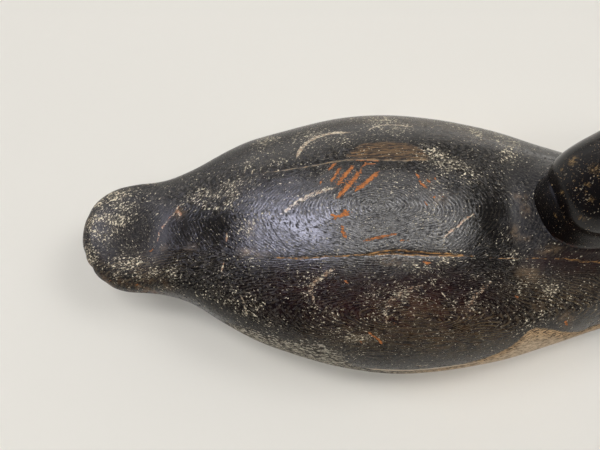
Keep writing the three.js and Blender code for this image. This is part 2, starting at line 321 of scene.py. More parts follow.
# where the paint is marked, worn or gone, and a few spots of painted shade, in plan on the back.
# Strokes are (half width, path), and feathers (half width, how broken, how warm, path). Spots are
# (along, across, half length, half breadth, strength); those of maroon and umber paint are measured
# down over the sides.
bodyWearAndShade = {
    "feathers": [  # painted crescents
        (1.4, .25, .2, [(-54.2, 30.9), (-52.4, 36.3), (-49.3, 41.2), (-43.7, 45.5), (-36.1, 47.8),
            (-25.3, 47.5)]),
        (.75, .3, 0, [(-16.4, 46.8), (-11.9, 51.5), (-4.8, 53.7), (2.9, 53.2), (11.3, 51.5)]),
        (.5, .4, 0, [(19.6, 50.9), (23.4, 54.6), (26.6, 53.8)]),
        (1.4, .5, .2, [(-61.5, -3.2), (-56, .6), (-51.7, 3.6), (-43.7, 7.1), (-34.2, 9.7)]),
        (.7, .25, .7, [(19, -18.7), (22.2, -15.7), (26, -12.9), (30.4, -9), (35.5, -5.6)]),
        (1.2, .65, .5, [(-34.5, -33.6), (-38, -35.7), (-41.8, -38.3), (-45.5, -41.1), (-46.2, -43.6),
            (-44.3, -49)]),
        (1.2, .76, .5, [(8, -41.8), (1, -44.2), (-4.6, -46.8), (-8, -50.1), (-9.8, -54.5), (-9, -59)]),
        (1.3, .76, .5, [(41, -39.7), (36.8, -43.1), (33.6, -46), (31.1, -49.1), (30.2, -53),
            (31.4, -57)]),
        (.7, .62, 1, [(-117.5, 10.5), (-119.3, 8.6), (-121.7, 4.3), (-124.6, .4), (-127, -2.7),
            (-128.4, -6.4), (-129, -10)]), (.9, .4, 1, [(-116.5, 3.2), (-118.6, 5.4), (-120, 6)]),
        (.6, .3, .8, [(-90.2, -10.2), (-90, -12.9), (-90.2, -15.5)]),
        (.5, .3, .8, [(-90.8, -26), (-91.3, -28.4), (-92, -31)]),
        (.6, .5, 0, [(-81.7, -42.9), (-79.9, -46.5), (-78.8, -49.8), (-77.6, -52.3)]),
        (.45, .4, 0, [(-81.7, 30.5), (-82.3, 27.8), (-82.8, 25)]),
        (.45, .4, 0, [(-78.2, 27), (-78.3, 23)]),
        (.6, .6, 0, [(-26, 61), (-20, 63.5), (-12, 64.8), (-4, 64)]),
        (.6, .6, 0, [(44, 50), (49, 53), (56, 54)]),
        (.35, .3, 0, [(1.5, -53), (3.4, -54.8), (4.6, -56)]),
        (.35, .3, 0, [(16.6, -44.6), (18.6, -46.8), (20.4, -48.4)]),
        (.3, .3, 0, [(11.8, -38.5), (12.6, -40.6), (13.8, -42.6)]),
        (.5, .5, 0, [(6.5, -74.5), (10.5, -74.4), (14.8, -74.1)]),
    ],
    "scratches": [  # rubbed through to bright wood
        (.8, [(-33.4, 25), (-35, 23.2), (-36.8, 21.3)]),
        (.85, [(-31.1, 21.8), (-33.6, 17.6), (-36.3, 13)]),
        (1.15, [(-24.1, 22.9), (-29.2, 16.4), (-33.2, 10.2)]),
        (1.3, [(-20.2, 19.9), (-25.3, 13), (-29.8, 7.4), (-33, 3)]),
        (1.35, [(-11.7, 18.2), (-17.7, 12.5), (-23.6, 7.4)]),
        (.6, [(-17.4, 25), (-18.6, 23), (-20.4, 21.4)]),
        (.4, [(-23.4, 26.6), (-17, 26.2), (-10.4, 25.6)]),
        (.8, [(-36.3, -5.8), (-31.7, -6.9), (-26.4, -5.2)]),
        (1, [(-33.8, -8.6), (-31, -6), (-28.3, -3.2)]),
        (.9, [(-31.1, -12.2), (-30.4, -15.3), (-29, -18.4)]),
        (.55, [(-20.4, -20.2), (-14.5, -18.9), (-4, -16.8)]), (.45, [(-43, 6.9), (-41, 7.9)]),
        (.4, [(-47.4, 1.9), (-44.8, 2.8)]), (.7, [(7.8, 16.4), (9.4, 14.8)]),
        (.7, [(8.6, 13), (10, 11), (12.2, 8.6)]), (.65, [(13, 13.6), (14.4, 11.8)]),
        (.5, [(16.4, 14.6), (17.6, 13.6)]), (.6, [(15.4, 2.4), (16.8, 4.2)]),
        (.6, [(19, 4.8), (20.4, 3.4)]), (.5, [(10.8, .4), (12, -1.4)]),
        (.6, [(8.2, -30.6), (10.2, -31.4), (12.2, -31.2)]),
        (.5, [(-17.7, -61.9), (-15.7, -63.8), (-13.2, -65), (-10.6, -67.2)]),
        (.5, [(-40.5, 15), (-41.8, 12.1)]), (.45, [(-18.3, 23.9), (-12.5, 23.4)]),
        (.5, [(-172.8, 7), (-172, 8)]), (.5, [(-156, -30.2), (-154.6, -30)]),
        (.5, [(-141, -32.7), (-139.6, -32.3)]), (.5, [(-157.4, 27.6), (-156, 28.2)]),
        (.5, [(-21.6, -66), (-20, -67)]), (.5, [(-29.6, -39.8), (-28.4, -40.6)]),
        (.5, [(-6.2, -58.2), (-4.8, -59)]), (.7, [(83.6, -52.6), (85.6, -53.8)]),
        (.5, [(53.4, -45), (55, -45.6)]), (.5, [(-133.5, -16), (-131.5, -15.2)]),
        (.35, [(-2.6, -20.4), (0, -20), (3, -20.6)]),
    ],
    "gouges": [  # short dark grooves where the grain tore
        (.2, [(-72.3, -3.7), (-68.2, -12.9), (-63.4, -20.7)]),
        (.25, [(-68.8, -4.8), (-64, -14.1), (-57.9, -22.8)]), (.25, [(-67, -4.9), (-63.4, -9.7)]),
        (.15, [(-75.3, -2.7), (-72.9, -11.8), (-69.4, -19.3)]),
        (.2, [(-60.5, -6.5), (-57.5, -12.5), (-53.5, -17.5)]),
    ],
    "flecks": [  # chips and dust
        (-165, 15, 8, 10, 1.1), (-168, -4, 7, 8, .6), (-167, -18, 6, 4, 1), (-153, 16, 9, 9, .8),
        (-154, -1, 8, 8, .75), (-147, -20, 12, 8, .35), (-140, 10, 12, 12, .2), (-141, 32, 8, 4, .6),
        (-137, -25, 16, 6, .6), (-121, -30, 9, 5, .55), (-124, 29, 9, 6, .35), (-92, 11, 10, 8, 1),
        (-104, 12, 8, 6, .6), (-99, 1, 8, 5, .6), (-112, 14, 7, 7, .4), (-81, -11, 5, 8, .6),
        (-79, -24, 5, 5, .55), (-72, -4, 8, 6, .4), (-79, 20, 12, 8, .25), (-71, 47, 8, 9, .7),
        (-46, 47, 10, 8, .6), (-27, 41, 9, 6, .45), (-77, 33, 10, 6, .35), (-60, 30, 8, 6, .3),
        (-37, 22, 6, 5, .35), (-2, 54, 10, 9, .75), (-11, 56, 5, 8, .4), (16, 30, 8, 6, .8),
        (25, 24, 7, 7, .85), (35, 15, 5, 6, .7), (20, 13, 7, 6, .45), (62, 44, 6, 10, 1.3),
        (58, 30, 6, 6, .6), (40, 42, 6, 7, .35), (-4, 14, 15, 8, .2), (13, -6, 7, 6, .35),
        (21, -19, 6, 7, .4), (18, -29, 7, 4, .5), (7, -34, 10, 4, .4), (49, -18, 5, 5, .6),
        (51, -27, 4, 4, .75), (42, -21, 4, 4, .4), (60, -29, 5, 4, .3), (-98, -38, 9, 5, .35),
        (-85, -43, 7, 4, .55), (-76, -50, 7, 4, .6), (-67, -57, 6, 3, .45), (-87, -31, 7, 4, .15),
        (-47, -37, 8, 5, .4), (-46, -48, 7, 4, .35), (-39, -56, 8, 4, .5), (-29, -63, 8, 3, .6),
        (-18, -65, 6, 3, .6), (-26, -70, 8, 2, .35), (-18, -47, 5, 6, .3), (-9, -49, 8, 6, .4),
        (-1, -45, 6, 5, .4), (-11, -56, 6, 3, .4), (16, -44, 15, 6, .2), (31, -50, 10, 5, .3),
        (20, -63, 7, 3, .2), (39, -60, 7, 3, .2), (69, -45, 10, 7, .5), (73, -39, 6, 3, .25),
        (63, -56, 10, 4, .4), (56, -42, 6, 4, .3), (89, -44, 8, 5, .2), (40, 56, 20, 7, .3),
        (45, 49, 5, 7, .9), (-14, 62, 22, 5, .3), (-21, -13, 8, 3, .3), (-13, -14.5, 5, 1.5, .35),
        (4, -12, 4, 2, .25),
    ],
    # the paint is clean and whole in these spots, with fewer pale marks; in the hollow before the neck
    # and at the waist this darker paint is also painted shade
    "clean": [  # thick whole paint
        (44, -8, 13, 17, 1), (-112, -5, 21, 15, .95), (-68, 38, 10, 6, .4), (-92, -8, 8, 12, .4),
    ],
    "ringShow": [  # growth rings stand out
        (-34, -5, 48, 22, 1), (12, -2, 26, 20, .7), (0, -62, 60, 12, .85), (-12, 1, 13, 7, -.6),
        (-118, 2, 16, 26, .35),
    ],
    # the maroon spot at 86 ahead and the umber spot at 90 ahead, by the neck's right side under the head,
    # are dark red-brown paint and also painted shade
    "maroon": [(-16, -52, 50, 15, 1), (86, -30, 24, 6, 1), (18, -42, 16, 8, .5), (-50, -40, 16, 8, .4)],
    "umber": [
        (-6, -67, 56, 10, .6), (50, -58, 42, 16, .6), (-120, -28, 40, 12, .5), (90, -40, 24, 14, .8),
    ],
    "rubbed": [  # thin paint, with brown wood along the grain
        (-8, -66, 52, 6, .4), (28, -62, 26, 8, .35), (-142, -25, 20, 7, .5), (72, -42, 20, 8, .3),
        (100, -44, 20, 10, .3), (62, -35, 5, 3, .5), (50, 44, 20, 6, .15), (4, -52, 12, 5, .4),
        (-20, 66, 70, 10, .5), (48, 60, 40, 12, .6), (10, -60, 40, 8, .35),
    ],
    "scuffs": [  # tan smears
        (59.7, 4.6, 2.6, 1.6, .9), (61, -2.9, 1.8, 4, .7), (54.5, -14.6, 2, 3.4, .8),
        (58, -17.8, 3.6, 1.4, .9), (70, -24, 4, 1.6, .9), (60.3, -35, 5, 3, .9), (66, -49, 3, 2, .6),
        (84, -52, 4, 2.4, .8), (-171, 3, 2, 2.4, .7), (-158, 4, 3, 3, .3), (-118, 4.7, 3, 3, .7),
        (-110, -16.4, 3, 2, .5), (-79.4, -22.2, 4, 2, .8), (-71, -24.2, 3, 1.4, .8),
        (-125, -14.5, 2, 2, .6), (-77, -8.2, 1.6, 2.2, .6), (-7.4, -30.7, 8, 1.8, .6),
        (13.8, 12.5, 3, 3, .3), (17.7, 2.9, 4, 3, .35),
    ],
    "dull": [  # sheen rubbed off
        (64, -6, 9, 22, 1), (72, 20, 14, 10, .6), (-162, -4, 14, 30, .35), (-141, -4, 13, 22, .9),
        (88, -33, 20, 7, 1),
    ],
    "everywhere": {"flecks": 0.20, "rubbed": 0.04, "dull": 0.2},  # least amounts, the last on the sides
    "bare": {"at": (-6.5, 25.5), "half": (22.5, 14.5)},  # a lens of brown wood against the left crack
    "flankTop": [  # upper edge of the pale flank
        (-95, 36), (-86.8, 44), (-76.4, 48.5), (-59.7, 50), (-46.8, 53), (-34.2, 54), (-27.3, 46),
        (-22, 40), (-10, 38.5), (8, 38), (20, 37.5), (32.3, 40), (39.3, 42), (47.4, 45), (57.9, 52),
        (63, 57.5), (70, 56.5), (79.4, 51.5), (90.2, 44), (99, 39), (107.6, 40), (124, 24),
    ],
    "rings": [  # where each board's growth rings close, and mm per ring along and across
        (-12, -2.4, 2.05, 1), (6, -60, 4.4, 1), (-4, 34, 4.6, 1.1),
    ],
    # a thin pale line low on the right, at the widest line: pale paint and also a painted highlight where
    # the lower side catches light off the floor
    "paleAndLitLine": [  # a pale line low on the right, along and breadth
        (-17, 1.5), (-6, 1.8), (10, 1.3), (28, 1.5), (45, 1.2),
    ],
    "paleHeight": 38.5,
    "tailChips": [  # along, across, radius, depth
        (-168.5, -22.5, 2.6, 1), (-172.5, -14, 2.5, .5), (-160, -32, 3.5, .8), (-174, 9, 3, .5),
    ],
}
# how deep the wear is cut in, in millimetres
bodyRelief = {"paint": 0.02, "feather": 0.05, "featherBreadth": 1.1, "crackBreadth": 0.35}


def ringField(flat, sideWay, sides):
    # how many growth rings lie between a vertex and the place where its board's rings close
    px, py, _ = flat.T
    board = (py > sides[1]).astype(int) - (py < sides[0]).astype(int)  # -1 right, 0 middle, 1 left
    bend = waves(flat, 30, 3) * 2.4 + waves(flat, 9, 4) * 0.5
    ring = np.zeros(len(flat))
    for which, (cx, cy, dx, dy) in zip((0, -1, 1), bodyWearAndShade["rings"]):
        ring = np.where(board == which, np.hypot((px - cx) / dx, (sideWay + bend - cy) / dy), ring)
    return ring


def crackFields(flat, sides, reach=9.0):
    # for every vertex: the distance across the nearest crack, the crack's half width there (below zero
    # beyond it) and the depth of its groove, a bell curve that grows with the opening
    px, py, pz = flat.T
    crackSide, crackWidth = np.full(len(flat), reach), np.full(len(flat), -1.0)
    groove = np.zeros(len(flat))
    for crack, side in zip(cracks, sides):
        first, last = crack["path"][0][0], crack["path"][-1][0]
        across = py - side + waves(flat, 7, 9, 8) * 0.22
        width = curveThrough(crack["halfWidth"], np.clip(px, first, last))
        width = width - np.maximum(first - px, 0) * 0.2 - np.maximum(px - last, 0) * 0.2
        near = (pz > 40) & (np.abs(across) < reach)
        crackSide = np.where(near, across, crackSide)
        crackWidth = np.where(near, width - np.maximum(np.abs(across) - 3, 0), crackWidth)
        opening = np.clip(width, 0, None)
        bell = np.exp(-(across / (opening + bodyRelief["crackBreadth"])) ** 2)
        groove += np.where(near, crack["depth"] * opening * bell, 0)
    return crackSide, crackWidth, groove


def edgeFields(flat, sides, angle):
    # millimetres inside the bare lens, the pale flank and the pale line, and 0 to 1 on the tail's rim;
    # the pale line is partly a painted highlight
    px, py, pz = flat.T
    lens = bodyWearAndShade["bare"]
    oval = 1 - np.hypot((px - lens["at"][0]) / lens["half"][0], (py - lens["at"][1]) / lens["half"][1])
    bare = np.where(pz > 60, np.minimum(oval * lens["half"][1], py - sides[1] - 0.2), -5)
    top = bodyWearAndShade["flankTop"]
    flank = curveThrough(top, np.clip(px, top[0][0], top[-1][0])) - pz
    flank = np.minimum(flank, np.minimum(px + 92, 120 - px) * 0.8)
    paleX, breadth = np.array(bodyWearAndShade["paleAndLitLine"]).T
    breadth = np.minimum(np.interp(px, paleX, breadth), np.minimum(px - paleX[0], paleX[-1] - px) * 0.3)
    pale = np.where(py < 0, breadth - np.abs(pz - bodyWearAndShade["paleHeight"]), -9)
    rim = np.maximum(smoothStep(np.abs(np.cos(angle.reshape(-1))), .80, .97), smoothStep(-px, 166, 173))
    return {"bare": bare, "flank": flank, "pale": pale, "rim": smoothStep(-px, 112, 136) * rim}


def makeBody():
    # the part's surface on a fine grid, pressed in along its normals by cracks, knife marks and wear
    x, angle = bodyGrid()
    grid = bodyPoint(x, angle)
    outward = gridNormals(grid)
    flat = grid.reshape(-1, 3)
    px, py, pz = flat.T
    sideWay = np.sign(py) * (np.abs(py) + np.maximum(78 - pz, 0) * 0.6)  # across, then down the sides
    sides = [crackAcross(crack, px) for crack in cracks]
    least = bodyWearAndShade["everywhere"]

    def soft(name, across=py, base=0.0):
        # one kind of spots, from 0 to 1, over a least amount
        return np.clip(blobs(px, across, bodyWearAndShade[name]) + base, 0, 1)

    fields = {"ring": ringField(flat, sideWay, sides)}
    fields["crackSide"], fields["crackWidth"], groove = crackFields(flat, sides)
    arcSide, arcWidth, arcWorn, arcWarm = strokeFields(flat, bodyWearAndShade["feathers"])
    fields |= {"arcSide": arcSide, "arcWidth": arcWidth, "arcWorn": arcWorn, "arcWarm": arcWarm}
    fields["scratchSide"], fields["scratchWidth"] = strokeFields(flat, bodyWearAndShade["scratches"])[:2]
    fields["gougeSide"], fields["gougeWidth"] = strokeFields(flat, bodyWearAndShade["gouges"])[:2]
    fields |= {name: soft(name) for name in ("clean", "ringShow")}
    fields |= {name: soft(name, sideWay) for name in ("maroon", "umber")}
    # fewer chips where the paint is clean; in the hollow before the neck and at the waist this is part of
    # the painted shade
    fields["fleck"] = soft("flecks", base=least["flecks"]) * (1 - 0.75 * fields["clean"])
    fields["rubbed"] = soft("rubbed", base=least["rubbed"])
    fields["scuff"] = soft("scuffs") * (pz > 30)
    fields["dull"] = soft("dull", base=least["dull"] * smoothStep(pz, 62, 40))
    fields |= edgeFields(flat, sides, angle)

    knife = np.clip(0.5 + 0.5 * waves(flat, bodyShape["chisel"], 5), 0, 1)
    depth = groove + bodyRelief["paint"] + bodyShape["unevenness"] * knife
    bell = np.exp(-(arcSide / bodyRelief["featherBreadth"]) ** 2)
    depth += np.where(np.abs(arcSide) < 3, bodyRelief["feather"] * bell * (arcWidth > 0), 0)
    for cx, cy, radius, bite in bodyWearAndShade["tailChips"]:
        depth += bite * np.exp(-((px - cx) ** 2 + (py - cy) ** 2) / radius ** 2)
    depth *= smoothStep(pz, 0.0, 3.0)  # the planed bottom stays flat, and so does the seat
    depth *= np.where((px > 60) & (np.abs(py) < 34), smoothStep(pz, 83.9, 83.0), 1)
    grid = grid - outward * depth.reshape(x.shape)[..., None]
    grid[..., 2] = np.maximum(grid[..., 2], 0)
    end = bodyShape["length"] / 2
    tip, breast = ((at, 0, curveThrough(bodyShape["widest"], np.array(at))) for at in (-end, end))
    return skinMesh("carvedBody", grid, tip, breast, fields)


# the head's shape, as in the part: sections from the seat to the tip of the bill
headShape = {
    "sections": [  # back (ahead of the neck, height), front (the same), half width, taper, power
        (-30.3, 84.3, 29, 84.3, 23.4, 0, 2.6), (-30.2, 87, 27.3, 88.5, 22.8, 0, 2.6),
        (-30.2, 92.8, 25, 93, 22.3, 0, 2.6), (-30.5, 99.3, 23, 97, 22.4, .02, 2.6),
        (-30.7, 106.3, 21.8, 100, 23.6, .04, 2.55), (-27.4, 114.8, 21.5, 102.5, 23.8, .07, 2.45),
        (-18.4, 124.8, 22, 104.3, 23.8, .1, 2.4), (-7.7, 135.3, 23.5, 105.2, 23.9, .13, 2.4),
        (7, 143.3, 26, 105.8, 23.6, .15, 2.35), (21.5, 143.8, 29.5, 106.3, 21.4, .17, 2.3),
        (33, 138.5, 33.5, 106.8, 17.8, .2, 2.3), (40.5, 130, 39, 107.5, 13.8, .24, 2.3),
        (48, 124.5, 47, 108.3, 12, .26, 2.4), (57, 121.3, 56.5, 109.2, 12, .2, 2.5),
        (66.5, 119, 66.5, 110.2, 12.8, .12, 2.5), (75.5, 117.2, 75.5, 111, 11.5, .05, 2.4),
        (80.2, 115, 80.2, 112.2, 5.5, 0, 2.2),
    ],
    "stations": 300, "columns": 180,
    "unevenness": 0.25, "chisel": 24,  # how deep and how far apart the knife wandered
    "eyeAlong": 0.538, "eyeAngle": 10, "eyeDiameter": 9.4, "eyeDome": 2.8, "eyeDepth": 2.2,
    "eyeRings": 22, "eyeSides": 48,
    "paint": 0.02, "seatTop": 84.3,
    # cuts: depth and half breadth in millimetres, places ahead of the neck or as shares of the head
    "mouth": {"depth": 0.75, "half": 0.55, "low": -24, "rise": 16},
    "nostril": {"depth": 0.9, "at": (51, 5.2), "half": (3.4, 1.15)},
    "nail": {"at": 77.5, "half": (5, 4.6)},
    "socket": {"depth": 1.5, "outer": 5.4, "inner": 4.3, "rim": 0.35, "rimAt": 6.4, "rimHalf": 1.1},
    "billCut": {"depth": 0.35, "at": 0.672, "half": 0.012},  # where the bill meets the cheek
}

# chips and smears: (ahead, left, height, size, strength) in the head's own frame
headWear = {
    "flecks": [
        (-28, 6, 112, 6, .3), (-29, -8, 100, 6, .25), (-25, -6, 114, 6, .3), (-20, 2, 123, 8, .3),
        (-15, -6, 128, 8, .25), (-8, 4, 137, 10, .35), (12, -8, 141, 12, .25), (20, 10, 140, 10, .35),
        (-6, -20, 120, 12, .2), (-4, 21, 118, 12, .3), (24, -16, 116, 8, .3), (-20, 16, 96, 8, .3),
    ],
    "scuffs": [
        (-22.9, 10.9, 117.6, 2.2, .9), (-26.8, 9.6, 113.3, .9, 1), (-29.8, -.4, 109.9, .9, 1),
        (-30.1, -5.5, 96.8, 1.1, 1), (-29.6, -9.7, 102.4, .9, 1), (-23.2, -2.8, 119.8, .9, 1),
        (-19.5, 2.4, 123.6, 1.8, .7), (-26.5, -14.2, 108.9, 1.6, .5), (-23.6, -9.1, 117.8, 1, .6),
        (26, -13, 139, 2.5, .6), (60, 0, 121, 8, .3),
    ],
    "fleckEverywhere": 0.14,
}


def splineAt(values, along):
    # Catmull-Rom through evenly spaced values, along running from 0 to 1
    values = np.array(values, float)
    last = len(values) - 1
    at = np.clip(along, 0, 1) * last
    i = np.minimum(at.astype(int), last - 1)
    t = at - i
    a, b, c, d = values[np.maximum(i - 1, 0)], values[i], values[i + 1], values[np.minimum(i + 2, last)]
    m, n = (c - a) / 2, (d - b) / 2
    return (2 * b - 2 * c + m + n) * t ** 3 + (3 * c - 3 * b - 2 * m - n) * t ** 2 + m * t + b


def headPoint(along, angle):
    # in the head's own frame; angle 0 is its left side, a quarter turn its back or top
    columns = np.array(headShape["sections"], float).T
    backX, backZ, frontX, frontZ, half, taper, power = (splineAt(column, along) for column in columns)
    towardsBack = signedPower(np.sin(angle), 2 / power)
    share = (1 + towardsBack) / 2
    y = half * signedPower(np.cos(angle), 2 / power) * (1 - taper * towardsBack)
    return np.stack([frontX + (backX - frontX) * share, y, frontZ + (backZ - frontZ) * share], -1)


def turnHead(points):
    # from the head's own frame to the part's
    seat = bodyShape["seat"]
    c, s = np.cos(np.radians(seat["turn"])), np.sin(np.radians(seat["turn"]))
    x, y, z = points[..., 0], points[..., 1], points[..., 2]
    return np.stack([seat["at"] + x * c - y * s, x * s + y * c, z], -1)


def eyePlace(side):
    # centre of an eye and the way it faces, in the head's own frame: the cross product of two short steps
    along, angle = headShape["eyeAlong"], np.radians(headShape["eyeAngle"])
    angle = angle if side > 0 else np.pi - angle

    def at(ahead, up):
        return headPoint(np.array(along + ahead), np.array(angle + up))

    step = 0.01
    out = np.cross(at(step, 0) - at(-step, 0), at(0, step) - at(0, -step))
    out /= np.linalg.norm(out)
    return at(0, 0), out * (1 if out[1] * side > 0 else -1)


def makeHead():
    # the part's surface on a fine grid, cut in by the mouth, nostrils, eye sockets and knife marks
    share = np.linspace(0, 1, headShape["stations"])
    turnRound = np.linspace(0, 2 * np.pi, headShape["columns"], endpoint=False)
    along, angle = np.meshgrid(share, turnRound, indexing="ij")
    grid = headPoint(along, angle)
    outward = gridNormals(grid)
    flat = grid.reshape(-1, 3)
    u, a = along.reshape(-1), angle.reshape(-1)
    hx, hy, hz = flat.T
    depth = headShape["unevenness"] * (1 + waves(flat, headShape["chisel"], 12)) * 0.5

    # mouth: a groove low on each side of the bill
    mouth = headShape["mouth"]
    up = np.where(np.cos(a) >= 0, a - 2 * np.pi * (a > np.pi), np.pi - a)  # 0 at either side, up positive
    lower = np.radians(mouth["low"]) + np.radians(mouth["rise"]) * smoothStep(u, 0.72, 0.62)
    halfWidth = splineAt(np.array(headShape["sections"])[:, 4], u)
    mouthSide = (up - lower) * halfWidth * 0.9
    mouthOn = smoothStep(u, 0.635, 0.67) * smoothStep(u, 0.985, 0.96)
    depth += mouth["depth"] * mouthOn * np.exp(-(mouthSide / mouth["half"]) ** 2)
    # nostrils and eye sockets with a soft rim, on both sides
    nostril, socket = headShape["nostril"], headShape["socket"]
    for side in (1, -1):
        away = np.hypot((hx - nostril["at"][0]) / nostril["half"][0],
                        (hy - side * nostril["at"][1]) / nostril["half"][1])
        depth += nostril["depth"] * np.exp(-away ** 4) * (hz > 115)
    for side in (1, -1):
        away = np.linalg.norm(flat - eyePlace(side)[0], axis=1)
        rim = socket["rim"] * np.exp(-((away - socket["rimAt"]) / socket["rimHalf"]) ** 2)
        depth += socket["depth"] * smoothStep(away, socket["outer"], socket["inner"]) - rim
    # the cheek's edge where the carver cut in the bill
    cut = headShape["billCut"]
    depth += cut["depth"] * np.exp(-((u - cut["at"] + 0.02 * np.sin(a)) / cut["half"]) ** 2)
    depth = (np.maximum(depth, 0) + headShape["paint"]) * smoothStep(hz, headShape["seatTop"], 85.5)
    grid = grid - outward * depth.reshape(along.shape)[..., None]

    def spots(wear, base, power):
        # soft balls that add up over a base amount
        total = np.full(len(flat), base)
        for x, y, z, size, amount in wear:
            away = ((hx - x) ** 2 + (hy - y) ** 2 + (hz - z) ** 2) / size ** 2
            total += amount * np.exp(-away ** power)
        return np.clip(total, 0, 1)

    nail = headShape["nail"]
    away = ((hx - nail["at"]) / nail["half"][0]) ** 2 + (hy / nail["half"][1]) ** 2
    nail = np.exp(-away ** 2) * (hz > 111)
    seam = np.exp(-((hz - 85) / 1.6) ** 2) * smoothStep(-hy, 8, 16) * 0.5  # rubbed where head meets body
    fields = {
        "billEdge": (u - 0.675 - 0.012 * np.cos(2 * (a - np.pi / 2))) * 160,
        "mouthSide": mouthSide, "mouthOn": mouthOn, "nail": nail,
        "fleck": spots(headWear["flecks"], headWear["fleckEverywhere"], 1.0),
        "scuff": spots(headWear["scuffs"], 0.0, 1.5),
        "rubbed": np.clip(0.05 + 0.9 * seam + 0.5 * nail, 0, 1),
        # the back of the head below the crown: painted shade, where the paint is kept pure black
        "clean": smoothStep(-hx, 10, 18) * smoothStep(hz, 130, 120)}
    start, end = (grid[k].mean(0) for k in (0, -1))
    return skinMesh("carvedHead", turnHead(grid), turnHead(start), turnHead(end), fields)


def makeEye(name, side):
    # a dome turned about the eye's own axis: radius and height follow a quarter circle, then the rim
    # goes straight back
    centre, out = eyePlace(side)
    radius, dome, back = headShape["eyeDiameter"] / 2, headShape["eyeDome"], headShape["eyeDepth"]
    bend = np.linspace(0, np.pi / 2, headShape["eyeRings"])[:-1]
    r = np.concatenate([[0.6 * radius, radius], radius * np.cos(bend)])
    h = np.concatenate([[-back] * 2, dome * np.sin(bend)])
    turn = np.linspace(0, 2 * np.pi, headShape["eyeSides"], endpoint=False)
    across = np.cross(out, [0, 0, 1])
    across /= np.linalg.norm(across)
    up = np.cross(across, out)
    ring = across * np.cos(turn)[:, None] + up * np.sin(turn)[:, None]
    grid = centre + out * h[:, None, None] + r[:, None, None] * ring[None]
    if np.dot(np.cross(ring[0], ring[len(turn) // 4]), out) < 0:
        grid = grid[:, ::-1]
    away = np.broadcast_to(r[:, None], grid.shape[:2]) / radius
    start, end = turnHead(centre - out * back), turnHead(centre + out * dome)
    piece = skinMesh(name, turnHead(grid), start, end, {"away": away})
    values = np.zeros(len(piece.data.vertices), np.float32)
    stored = piece.data.attributes["away"].data
    stored.foreach_get("value", values)
    values[-1] = 0  # the middle of the dome
    stored.foreach_set("value", values)
    return piece


# tools for materials: places and amounts are sockets, and a new node goes into the tree of what it reads

def isSocket(value):
    # whether a value is another node's output
    return isinstance(value, bpy.types.NodeSocket)


def addNode(tree, kind, inputs=None, **settings):
    # one node with its settings; its inputs may be values or sockets
    made = tree.nodes.new(kind)
    for key, value in settings.items():
        setattr(made, key, value)
    for key, value in (inputs or {}).items():
        if isSocket(value):
            tree.links.new(value, made.inputs[key])
        else:
            made.inputs[key].default_value = value
    return made


def calc(operation, a, b=0.0, c=0.0, clamp=False):
    # one sum; at least one of a and b is a socket
    tree = (a if isSocket(a) else b).id_data
    made = addNode(tree, "ShaderNodeMath", {0: a, 1: b, 2: c}, operation=operation, use_clamp=clamp)
    return made.outputs[0]


# a + b, a - b, a * b, a * b + c, and the larger of a and b
plus, minus, times, timesPlus, larger = (
    partial(calc, operation) for operation in ("ADD", "SUBTRACT", "MULTIPLY", "MULTIPLY_ADD", "MAXIMUM"))


def swing(value, amount, base=None, middle=0.5):
    # how far a value is from its middle, times an amount, and on top of a base if there is one
    away = minus(value, middle)
    return times(away, amount) if base is None else timesPlus(away, amount, base)


def ramp(value, low, high, first=0.0, last=1.0):
    # an S curve from first at low to last at high
    inputs = {"Value": value, "From Min": low, "From Max": high, "To Min": first, "To Max": last}
    made = addNode(value.id_data, "ShaderNodeMapRange", inputs, interpolation_type="SMOOTHSTEP")
    return made.outputs["Result"]


def fieldsOf(tree, names):
    # the values that the mesh keeps on its points under these names
    made = [addNode(tree, "ShaderNodeAttribute", attribute_name=name) for name in names.split()]
    return [node.outputs["Fac"] for node in made]


def mix(factor, a, b):
    # the number a where factor is 0, b where it is 1
    return addNode(factor.id_data, "ShaderNodeMix", {0: factor, 2: a, 3: b}, data_type="FLOAT").outputs[0]


def blend(factor, a, b):
    # the colour a where factor is 0, b where it is 1; a name stands for one of the paints
    a, b = (paint[tone] if isinstance(tone, str) else tone for tone in (a, b))
    a, b = (tone if isSocket(tone) else (*tone, 1) for tone in (a, b))
    return addNode(factor.id_data, "ShaderNodeMix", {0: factor, 6: a, 7: b}, data_type="RGBA").outputs[2]


def noise(place, size, detail=3.0, roughness=0.55, distortion=0.0):
    # noise whose features are about size millimetres across
    return addNode(place.id_data, "ShaderNodeTexNoise", {
        "Vector": place, "Scale": 1.0 / mm / size, "Detail": detail,
        "Roughness": roughness, "Distortion": distortion}).outputs["Fac"]


def patches(place, size, detail, low, high, first=0.0, last=1.0, roughness=0.55):
    # noise through an S curve: first where it is below low, last where it is above high
    return ramp(noise(place, size, detail, roughness), low, high, first, last)


def scaled(place, x=1.0, z=1.0):
    # the place with its length or height scaled; below 1, patterns are drawn out along it
    return addNode(place.id_data, "ShaderNodeMapping", {"Vector": place, "Scale": (x, 1, z)}).outputs[0]


def flecks(place, size, density, rare, dense):
    # ragged chips about size mm across, where noise beats a limit that falls from rare to dense
    # as the density goes from 0 to 1
    inputs = {"Value": density, "To Min": rare, "To Max": dense}
    limit = addNode(place.id_data, "ShaderNodeMapRange", inputs).outputs["Result"]
    return ramp(minus(noise(place, size * 1.6, 4, 0.6, 0.3), limit), -0.012, 0.022)


def chips(lined, place, size, density):
    # angular chips: where thin noise along the grain and rounder noise both beat limits that fall
    # with density
    def above(way, width, fall, start):
        return ramp(minus(noise(way, width, 3, 0.6), timesPlus(density, fall, start)), -0.012, 0.016)

    return times(above(lined, size, -0.115, 0.660), above(place, size * 1.7, -0.13, 0.545))


def stroke(side, width, ragged, soft):
    # 1 inside a stroke whose half width is ragged by noise, both in millimetres
    return ramp(minus(plus(width, ragged), calc("ABSOLUTE", side)), -soft, soft)


